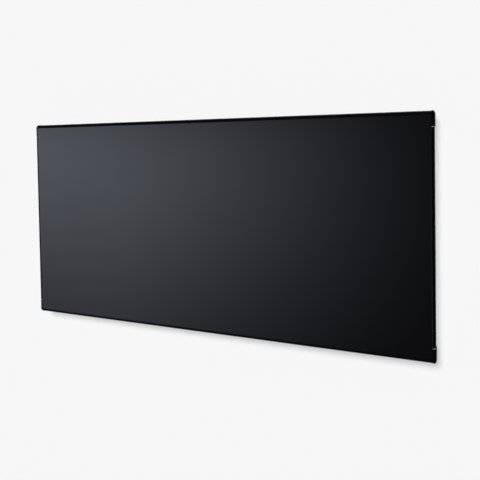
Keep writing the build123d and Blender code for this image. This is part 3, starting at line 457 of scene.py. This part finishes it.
def clearPicks(obj):
    bpy.ops.object.mode_set(mode="OBJECT")
    for part in (obj.data.vertices, obj.data.edges, obj.data.polygons):
        part.foreach_set("select", [False] * len(part))


def pickFaces(obj, test):
    clearPicks(obj)
    for face in obj.data.polygons:
        face.select = bool(test(face.center))
    bpy.ops.object.mode_set(mode="EDIT")
    bpy.ops.mesh.select_mode(type="FACE")


def pickEdges(obj, test):
    clearPicks(obj)
    points = obj.data.vertices
    for edge in obj.data.edges:
        edge.select = bool(test(points[edge.vertices[0]].co, points[edge.vertices[1]].co))
    bpy.ops.object.mode_set(mode="EDIT")
    bpy.ops.mesh.select_mode(type="EDGE")


def bevelPicked(width, steps):
    bpy.ops.mesh.bevel(offset=width, segments=steps, affect="EDGES")
    bpy.ops.object.mode_set(mode="OBJECT")


# left in edit mode with all of it selected
def mergeDoubles(obj):
    makeActive(obj)
    bpy.ops.object.mode_set(mode="EDIT")
    bpy.ops.mesh.select_all(action="SELECT")
    bpy.ops.mesh.remove_doubles(threshold=mergeWithin)


# sharp edges rounded, and the piece given to the node that it stands for
def finishPiece(obj, node, roundBy, steps, sharpFrom):
    bpy.ops.object.mode_set(mode="OBJECT")
    edge = obj.modifiers.new("softEdge", "BEVEL")
    edge.width = roundBy
    edge.segments = steps
    edge.limit_method = "ANGLE"
    edge.angle_limit = math.radians(sharpFrom)
    bpy.ops.object.modifier_apply(modifier="softEdge")
    bpy.ops.object.shade_smooth_by_angle(angle=math.radians(smoothBelow))
    obj.data.materials.clear()
    obj.data.materials.append(finishes[nodeSlot[node]])
    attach(obj, nodeBody[node])
    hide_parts(node)


# a node's own shape with its doubles merged and its sharp edges rounded
def softCopy(node, name, roundBy):
    obj = bpy.data.objects.new(name, nodes[node].data.copy())
    bpy.context.scene.collection.objects.link(obj)
    mergeDoubles(obj)
    bpy.ops.mesh.customdata_custom_splitnormals_clear()
    bpy.ops.mesh.dissolve_limited(angle_limit=math.radians(flatBelow))
    finishPiece(obj, node, roundBy, steps=3, sharpFrom=40)


softPieces = {
    "end_cap_top_left": ("topLeftCap", 0.0004),
    "end_cap_top_right": ("topRightCap", 0.0004),
    "end_cap_bottom_left": ("bottomLeftCap", 0.0004),
    "end_cap_bottom_right": ("bottomRightCap", 0.0004),
    "side_profile_left": ("leftSideTrim", 0.00025),
    "side_profile_right": ("rightSideTrim", 0.00025),
    "wall_bracket_left": ("leftBracket", 0.0003),
    "wall_bracket_right": ("rightBracket", 0.0003),
    "hanger_rail_upper": ("upperHanger", 0.0002),
    "hanger_rail_lower": ("lowerHanger", 0.0002),
    "junction_box": ("boxShell", 0.0005),
    "hook_pads": ("hookPads", 0.0002),
    "gland_body": ("glandBody", 0.0003),
}
for node, (name, roundBy) in softPieces.items():
    softCopy(node, name, roundBy)
    print("softened", name)


def addCylinder(name, sides, radius, place, low, high, turn=0.0):
    deselectAll()
    bpy.ops.mesh.primitive_cylinder_add(vertices=sides, radius=radius, depth=high - low,
                                        location=(place[0], place[1], (low + high) / 2),
                                        rotation=(0, 0, turn))
    obj = bpy.context.active_object
    obj.name = name
    bpy.ops.object.transform_apply(location=True, rotation=True, scale=True)
    return obj


def carve(obj, tool, operation):
    makeActive(obj)
    cut = obj.modifiers.new("carve", "BOOLEAN")
    cut.operation = operation
    cut.solver = "EXACT"
    cut.object = tool
    bpy.ops.object.modifier_apply(modifier="carve")
    bpy.data.objects.remove(tool)


def finishCarved(obj, node, roundBy):
    mergeDoubles(obj)
    bpy.ops.mesh.normals_make_consistent(inside=False)
    finishPiece(obj, node, roundBy, steps=2, sharpFrom=35)


# gland nut: six flats cut on a turned body, finger grooves, a domed end open for the cord
nutSet = {
    "sides": 72,
    "dome": 0.0044,  # rounding of the end that the cord leaves by
    "domeSteps": 8,
    "topRim": 0.0006,
    "rimSteps": 2,
    "grooves": 3,  # on each flat
    "groovePitch": 0.0022,
    "grooveRadius": 0.00055,
    "grooveSides": 12,
    "grooveFrom": 0.7,  # share of the dome's rounding below which there is no groove
    "bore": 0.00375,
    "thread": 0.00615,
    "boreSides": 48,
    "endWall": 0.0024,
    "soft": 0.00015,
}


def glandNut(s):
    low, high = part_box("gland_nut")
    bottom, top = low[2], high[2]
    place = ((low[0] + high[0]) / 2, (low[1] + high[1]) / 2)
    corner, flat = (high[0] - low[0]) / 2, (high[1] - low[1]) / 2
    nut = addCylinder("glandNut", s["sides"], corner, place, bottom, top)
    for level, width, steps in ((bottom, s["dome"], s["domeSteps"]), (top, s["topRim"], s["rimSteps"])):
        pickEdges(nut, lambda a, b: max(abs(a.z - level), abs(b.z - level)) < levelWithin)
        bevelPicked(width, steps)
    flats = addCylinder("flats", 6, corner, place, bottom - pastEnd, top + pastEnd, math.radians(30))
    carve(nut, flats, "INTERSECT")
    grooves = []
    for side in range(6):
        angle = math.radians(90 + 60 * side)
        out = Vector((math.cos(angle), math.sin(angle)))
        for step in range(s["grooves"]):
            across = (step - (s["grooves"] - 1) / 2) * s["groovePitch"]
            spot = Vector(place) + out * flat + Vector((-out.y, out.x)) * across
            grooves.append(addCylinder("groove", s["grooveSides"], s["grooveRadius"], spot,
                                       bottom + s["grooveFrom"] * s["dome"], top + pastEnd))
    makeActive(grooves[0])
    for groove in grooves:
        groove.select_set(True)
    bpy.ops.object.join()
    carve(nut, grooves[0], "DIFFERENCE")
    for name, radius, start in (("bore", s["bore"], bottom - pastEnd),
                                ("thread", s["thread"], bottom + s["endWall"])):
        carve(nut, addCylinder(name, s["boreSides"], radius, place, start, top + pastEnd), "DIFFERENCE")
    finishCarved(nut, "gland_nut", s["soft"])


glandNut(nutSet)
print("gland nut made")


# a flat slab across the panel's depth, with its four corners rounded
def roundedSlab(name, low, high, corner, steps):
    deselectAll()
    bpy.ops.mesh.primitive_cube_add(size=1, location=[(l + h) / 2 for l, h in zip(low, high)],
                                    scale=[h - l for l, h in zip(low, high)])
    slab = bpy.context.active_object
    slab.name = name
    bpy.ops.object.transform_apply(location=True, rotation=True, scale=True)
    pickEdges(slab, lambda a, b: abs(a.y - b.y) > flatWithin)
    bevelPicked(corner, steps)
    return slab


def roundRim(obj, level, width, steps):
    pickEdges(obj, lambda a, b: min(a.y, b.y) > level - levelWithin)
    bevelPicked(width, steps)


# junction box lid: a raised field with a groove round it, and two notches to lift the lid by
lidSet = {
    "corner": 0.006,
    "cornerSteps": 8,
    "rim": 0.0008,
    "rimSteps": 3,
    "fieldIn": 0.013,
    "fieldCorner": 0.004,
    "fieldRise": 0.0006,
    "fieldSunk": 0.0005,  # how deep the field's own slab starts in the lid
    "fieldRim": 0.0004,
    "fieldSteps": 2,
    "grooveIn": 0.0175,
    "grooveWide": 0.0012,
    "grooveDeep": 0.0004,
    "grooveCorner": 0.0025,
    "notchRadius": 0.0035,
    "notchSides": 32,
    "notchDeep": 0.0011,
    "soft": 0.00012,
}


def boxLid(s):
    low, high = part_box("junction_lid")
    lid = roundedSlab("boxLid", low, high, s["corner"], s["cornerSteps"])
    roundRim(lid, high[1], s["rim"], s["rimSteps"])

    def field(name, inset, bottom, top, corner):
        return roundedSlab(name, (low[0] + inset, bottom, low[2] + inset),
                           (high[0] - inset, top, high[2] - inset), corner, s["cornerSteps"])

    top = high[1] + s["fieldRise"]
    raised = field("field", s["fieldIn"], high[1] - s["fieldSunk"], top, s["fieldCorner"])
    roundRim(raised, top, s["fieldRim"], s["fieldSteps"])
    carve(lid, raised, "UNION")
    groove = field("groove", s["grooveIn"], top - s["grooveDeep"], top + pastEnd, s["grooveCorner"])
    inner = field("inner", s["grooveIn"] + s["grooveWide"], top - pastEnd, top + 2 * pastEnd,
                  s["grooveCorner"] - s["grooveWide"])
    carve(groove, inner, "DIFFERENCE")
    carve(lid, groove, "DIFFERENCE")
    for z in (low[2], high[2]):
        notch = addCylinder("notch", s["notchSides"], s["notchRadius"], ((low[0] + high[0]) / 2, high[1]),
                            z - s["notchDeep"], z + s["notchDeep"])
        carve(lid, notch, "DIFFERENCE")
    finishCarved(lid, "junction_lid", s["soft"])


boxLid(lidSet)
print("box lid made")


# stage: wall, floor, world and lights
stageSet = {
    "wallY": 0.0006,
    "wallHalf": 120.0,
    "wallTop": 15.0,
    "floorZ": -1.05,
    "floorDeep": 120.0,
    "wallColour": (0.60, 0.60, 0.604),
    "wallShown": 0.422,  # the share of its paleness that no shadow dims
    "floorColour": (0.55, 0.55, 0.55),
    "floorShown": 0.26,
    "worldLight": 0.13,
    "worldShown": (0.913, 0.913, 0.921),
    "suns": {  # soft is an angle in degrees, and mirrored says whether gloss shows the light
        "frontWindow": {"energy": 2.62, "from": (-0.12, -1.0, 0.60), "soft": 24.0, "mirrored": False},
        "rearWindow": {"energy": 1.3, "from": (0.55, 1.0, 0.75), "soft": 28.0, "mirrored": True},
    },
}

# the matt paint of wall and floor
paleSet = {
    "grain": 300.0,
    "drift": 2.0,
    "tone": 0.005,
    "rough": 0.9,
    "gloss": 0.1,
    "glow": (1, 1, 1.006),
}


# 1 for the rays that show a backdrop, 0 for those that light the object
def seenRays(tree):
    path = put(tree, "ShaderNodeLightPath")
    mirrored = calc(tree, "MAXIMUM", path.outputs["Is Glossy Ray"], path.outputs["Is Transmission Ray"])
    return calc(tree, "MAXIMUM", path.outputs["Is Camera Ray"], mirrored)


def mixShaders(tree, mask, first, second):
    mix = put(tree, "ShaderNodeMixShader")
    for socket, source in zip(mix.inputs, (mask, first, second)):
        join(tree, source, socket)
    return mix.outputs[0]


# pale and matt, seen from its front only
def paleFinish(name, colour, shown, s):
    mat, tree, body = newFinish(name)
    grain = useGroup(tree, "grain", Scale=s["grain"], Drift=s["drift"])
    join(tree, twoTone(tree, grain.outputs["Tone"], colour, s["tone"]), body.inputs["Base Color"])
    body.inputs["Roughness"].default_value = s["rough"]
    body.inputs["Specular IOR Level"].default_value = s["gloss"]
    glow = put(tree, "ShaderNodeEmission", in_Color=(*s["glow"], 1))
    join(tree, calc(tree, "MULTIPLY", seenRays(tree), shown), glow.inputs["Strength"])
    both = put(tree, "ShaderNodeAddShader")
    join(tree, body.outputs[0], both.inputs[0])
    join(tree, glow.outputs[0], both.inputs[1])
    clear = put(tree, "ShaderNodeBsdfTransparent")
    side = put(tree, "ShaderNodeNewGeometry")
    out = next(n for n in tree.nodes if n.type == "OUTPUT_MATERIAL")
    seen = mixShaders(tree, side.outputs["Backfacing"], both.outputs[0], clear.outputs[0])
    join(tree, seen, out.inputs["Surface"])
    return mat


def stagePlane(name, corners, mat):
    deselectAll()
    bpy.ops.mesh.primitive_plane_add(size=2, location=(0, 0, 0))
    obj = bpy.context.active_object
    obj.name = name
    for vert, corner in zip(obj.data.vertices, corners):
        vert.co = corner
    obj.data.materials.append(mat)
    obj.visible_diffuse = obj.visible_glossy = False
    return obj


def buildStage(s):
    half, deep, top, low = s["wallHalf"], s["floorDeep"], s["wallTop"], s["floorZ"]
    wall = stagePlane("wall", [(x, s["wallY"], z) for z in (low, top) for x in (-half, half)],
                      paleFinish("wallPaint", s["wallColour"], s["wallShown"], paleSet))
    wall.visible_shadow = False  # the panel's back stays lit
    stagePlane("floor", [(x, y, low) for y in (-deep, deep) for x in (-half, half)],
               paleFinish("floorPaint", s["floorColour"], s["floorShown"], paleSet))


buildStage(stageSet)
print("wall and floor set")

# the dark side of the studio, in front of the panel, with one graded light in it to the left
domeSet = {
    "radius": 4.0,
    "segments": 48,
    "rings": 24,
    "centre": (0, -0.2, 0),
    "cut": 1.5,  # behind this the pale surroundings show
    "tint": (0.915, 0.975, 1.15),
    "bright": 2.84,
    "across": (0.20, -1.10),  # the graded light fades in from right to left
    "below": (-0.70, 0.09, 0.0),
    "above": (0.22, 0.085),
    "fall": (-0.60, 0.93),  # further left than this, the light hangs higher
    "side": (0.50, 0.80, 1.1),  # a light low down beyond the right-hand end
    "sideBelow": (0.15, -0.35),
    "sideAbove": 0.25,  # the share of it that is left higher up
}


def domeLevel(tree, s):
    place = put(tree, "ShaderNodeTexCoord")
    unit = put(tree, "ShaderNodeVectorMath", operation="NORMALIZE")
    join(tree, place.outputs["Object"], unit.inputs[0])
    split = splitAxes(tree, unit.outputs[0])
    x, z = split.outputs["X"], split.outputs["Z"]
    across = mapped(tree, x, *s["across"], 0.0, s["bright"])
    above = mapped(tree, z, *s["above"])
    start, slope = s["fall"]
    beyond = calc(tree, "MINIMUM", calc(tree, "SUBTRACT", x, start), 0.0)
    sunk = calc(tree, "ADD", z, calc(tree, "MULTIPLY", beyond, slope))
    below = mapped(tree, sunk, *s["below"])
    graded = calc(tree, "MULTIPLY", calc(tree, "MULTIPLY", across, above), below)
    low, high, most = s["side"]
    beside = calc(tree, "MULTIPLY", mapped(tree, x, low, high, 0.0, most),
                  mapped(tree, z, *s["sideBelow"], s["sideAbove"], 1.0))
    return calc(tree, "ADD", graded, beside)


def reflectedStudio(s):
    deselectAll()
    bpy.ops.mesh.primitive_uv_sphere_add(segments=s["segments"], ring_count=s["rings"],
                                         radius=s["radius"], location=s["centre"])
    dome = bpy.context.active_object
    dome.name = "studioDome"
    bpy.ops.object.transform_apply(location=True)
    pickFaces(dome, lambda centre: centre.y > s["cut"])
    bpy.ops.mesh.delete(type="FACE")
    bpy.ops.object.mode_set(mode="OBJECT")
    mat = bpy.data.materials.new("studioShade")
    mat.use_nodes = True
    tree = mat.node_tree
    tree.nodes.clear()
    glow = put(tree, "ShaderNodeEmission", in_Color=(*s["tint"], 1))
    join(tree, domeLevel(tree, s), glow.inputs["Strength"])
    out = put(tree, "ShaderNodeOutputMaterial")
    join(tree, glow.outputs[0], out.inputs["Surface"])
    dome.data.materials.append(mat)
    dome.visible_camera = dome.visible_diffuse = dome.visible_shadow = dome.visible_transmission = False


reflectedStudio(domeSet)
print("reflected studio set")


def lightScene(s):
    world = bpy.data.worlds.new("studio")
    bpy.context.scene.world = world
    world.use_nodes = True
    tree = world.node_tree
    tree.nodes.clear()
    light = put(tree, "ShaderNodeBackground", in_Color=(1, 1, 1, 1), in_Strength=s["worldLight"])
    shown = put(tree, "ShaderNodeBackground", in_Color=(*s["worldShown"], 1), in_Strength=1.0)
    out = put(tree, "ShaderNodeOutputWorld")
    join(tree, mixShaders(tree, seenRays(tree), light.outputs[0], shown.outputs[0]), out.inputs["Surface"])
    for name, values in s["suns"].items():
        data = bpy.data.lights.new(name, "SUN")
        data.energy = values["energy"]
        data.angle = math.radians(values["soft"])
        sun = bpy.data.objects.new(name, data)
        bpy.context.scene.collection.objects.link(sun)
        sun.rotation_euler = Vector(values["from"]).to_track_quat("Z", "Y").to_euler()
        sun.visible_glossy = values["mirrored"]


lightScene(stageSet)
bpy.context.scene.view_settings.view_transform = "Standard"
print("lights set")
